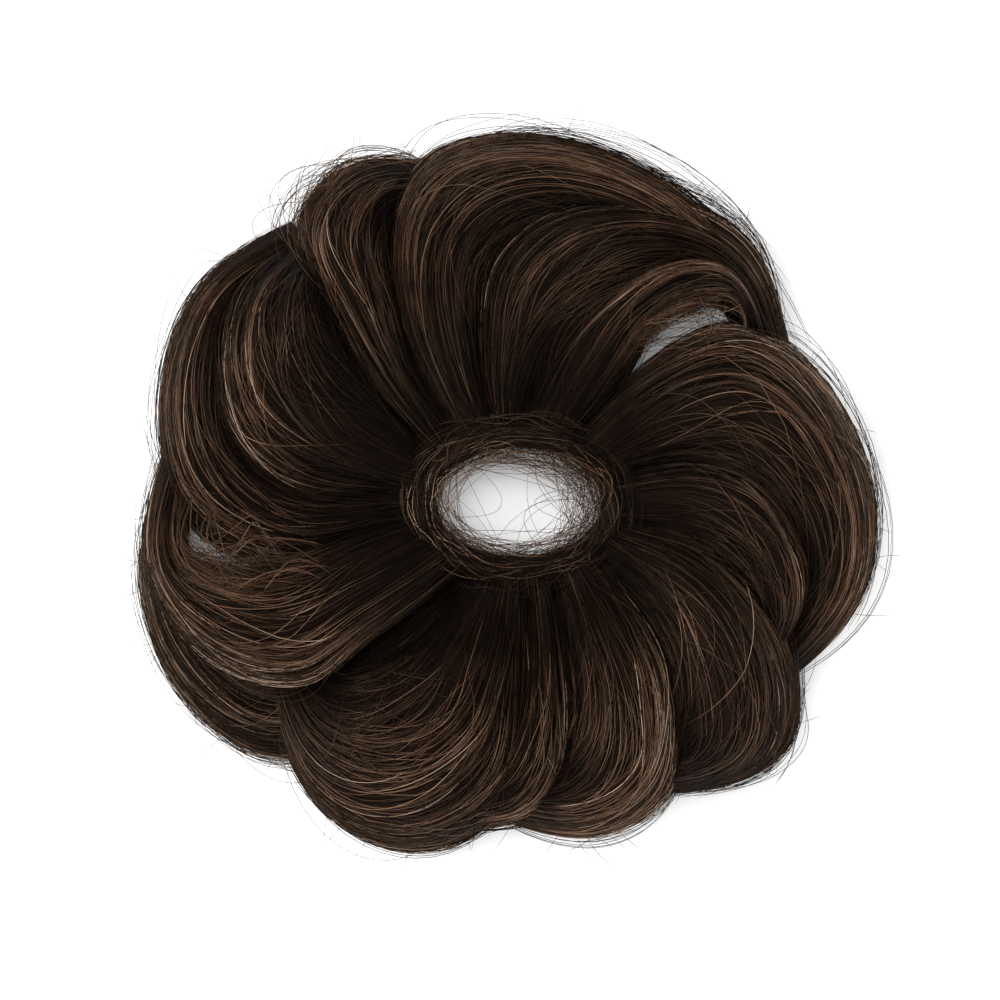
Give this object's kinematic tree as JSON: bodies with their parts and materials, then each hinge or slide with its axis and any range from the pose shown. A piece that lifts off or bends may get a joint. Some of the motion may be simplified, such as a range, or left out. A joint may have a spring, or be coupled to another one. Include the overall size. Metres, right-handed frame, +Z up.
{
  "type": "top knot hairpiece",
  "caption": "Top knot hairpiece: overlapping curls of dark brown hair that fan clockwise round a wound elastic, with an oval opening for a bun or ponytail.",
  "frame": {"origin": "middle of the hairpiece's outline as seen from above, on the surface that it lies on", "axes": "+Z up out of the surface, along the opening; +X along the opening's long way; +Y towards the longest curl"},
  "size_m": [0.1592, 0.1546, 0.0389],
  "materials": {
    "hair": "dark brown synthetic hair with lighter strands, satin",
    "wound_hair": "dark brown synthetic hair wound round the elastic, satin",
    "elastic": "brown covered elastic, matt"
  },
  "bodies": {
    "root": {"band_wrap": "wound_hair", "elastic_band": "elastic", "curl_top_back": "hair", "curl_top_mid": "hair", "curl_top_front": "hair", "curl_right": "hair", "curl_right_inner": "hair", "curl_lower_right": "hair", "curl_lower_mid": "hair", "curl_bottom_side": "hair", "curl_bottom": "hair", "curl_lower_left": "hair", "curl_lower_left_under": "hair", "curl_left_rim": "hair", "curl_left": "hair", "curl_top_left": "hair"}
  },
  "joints": []
}
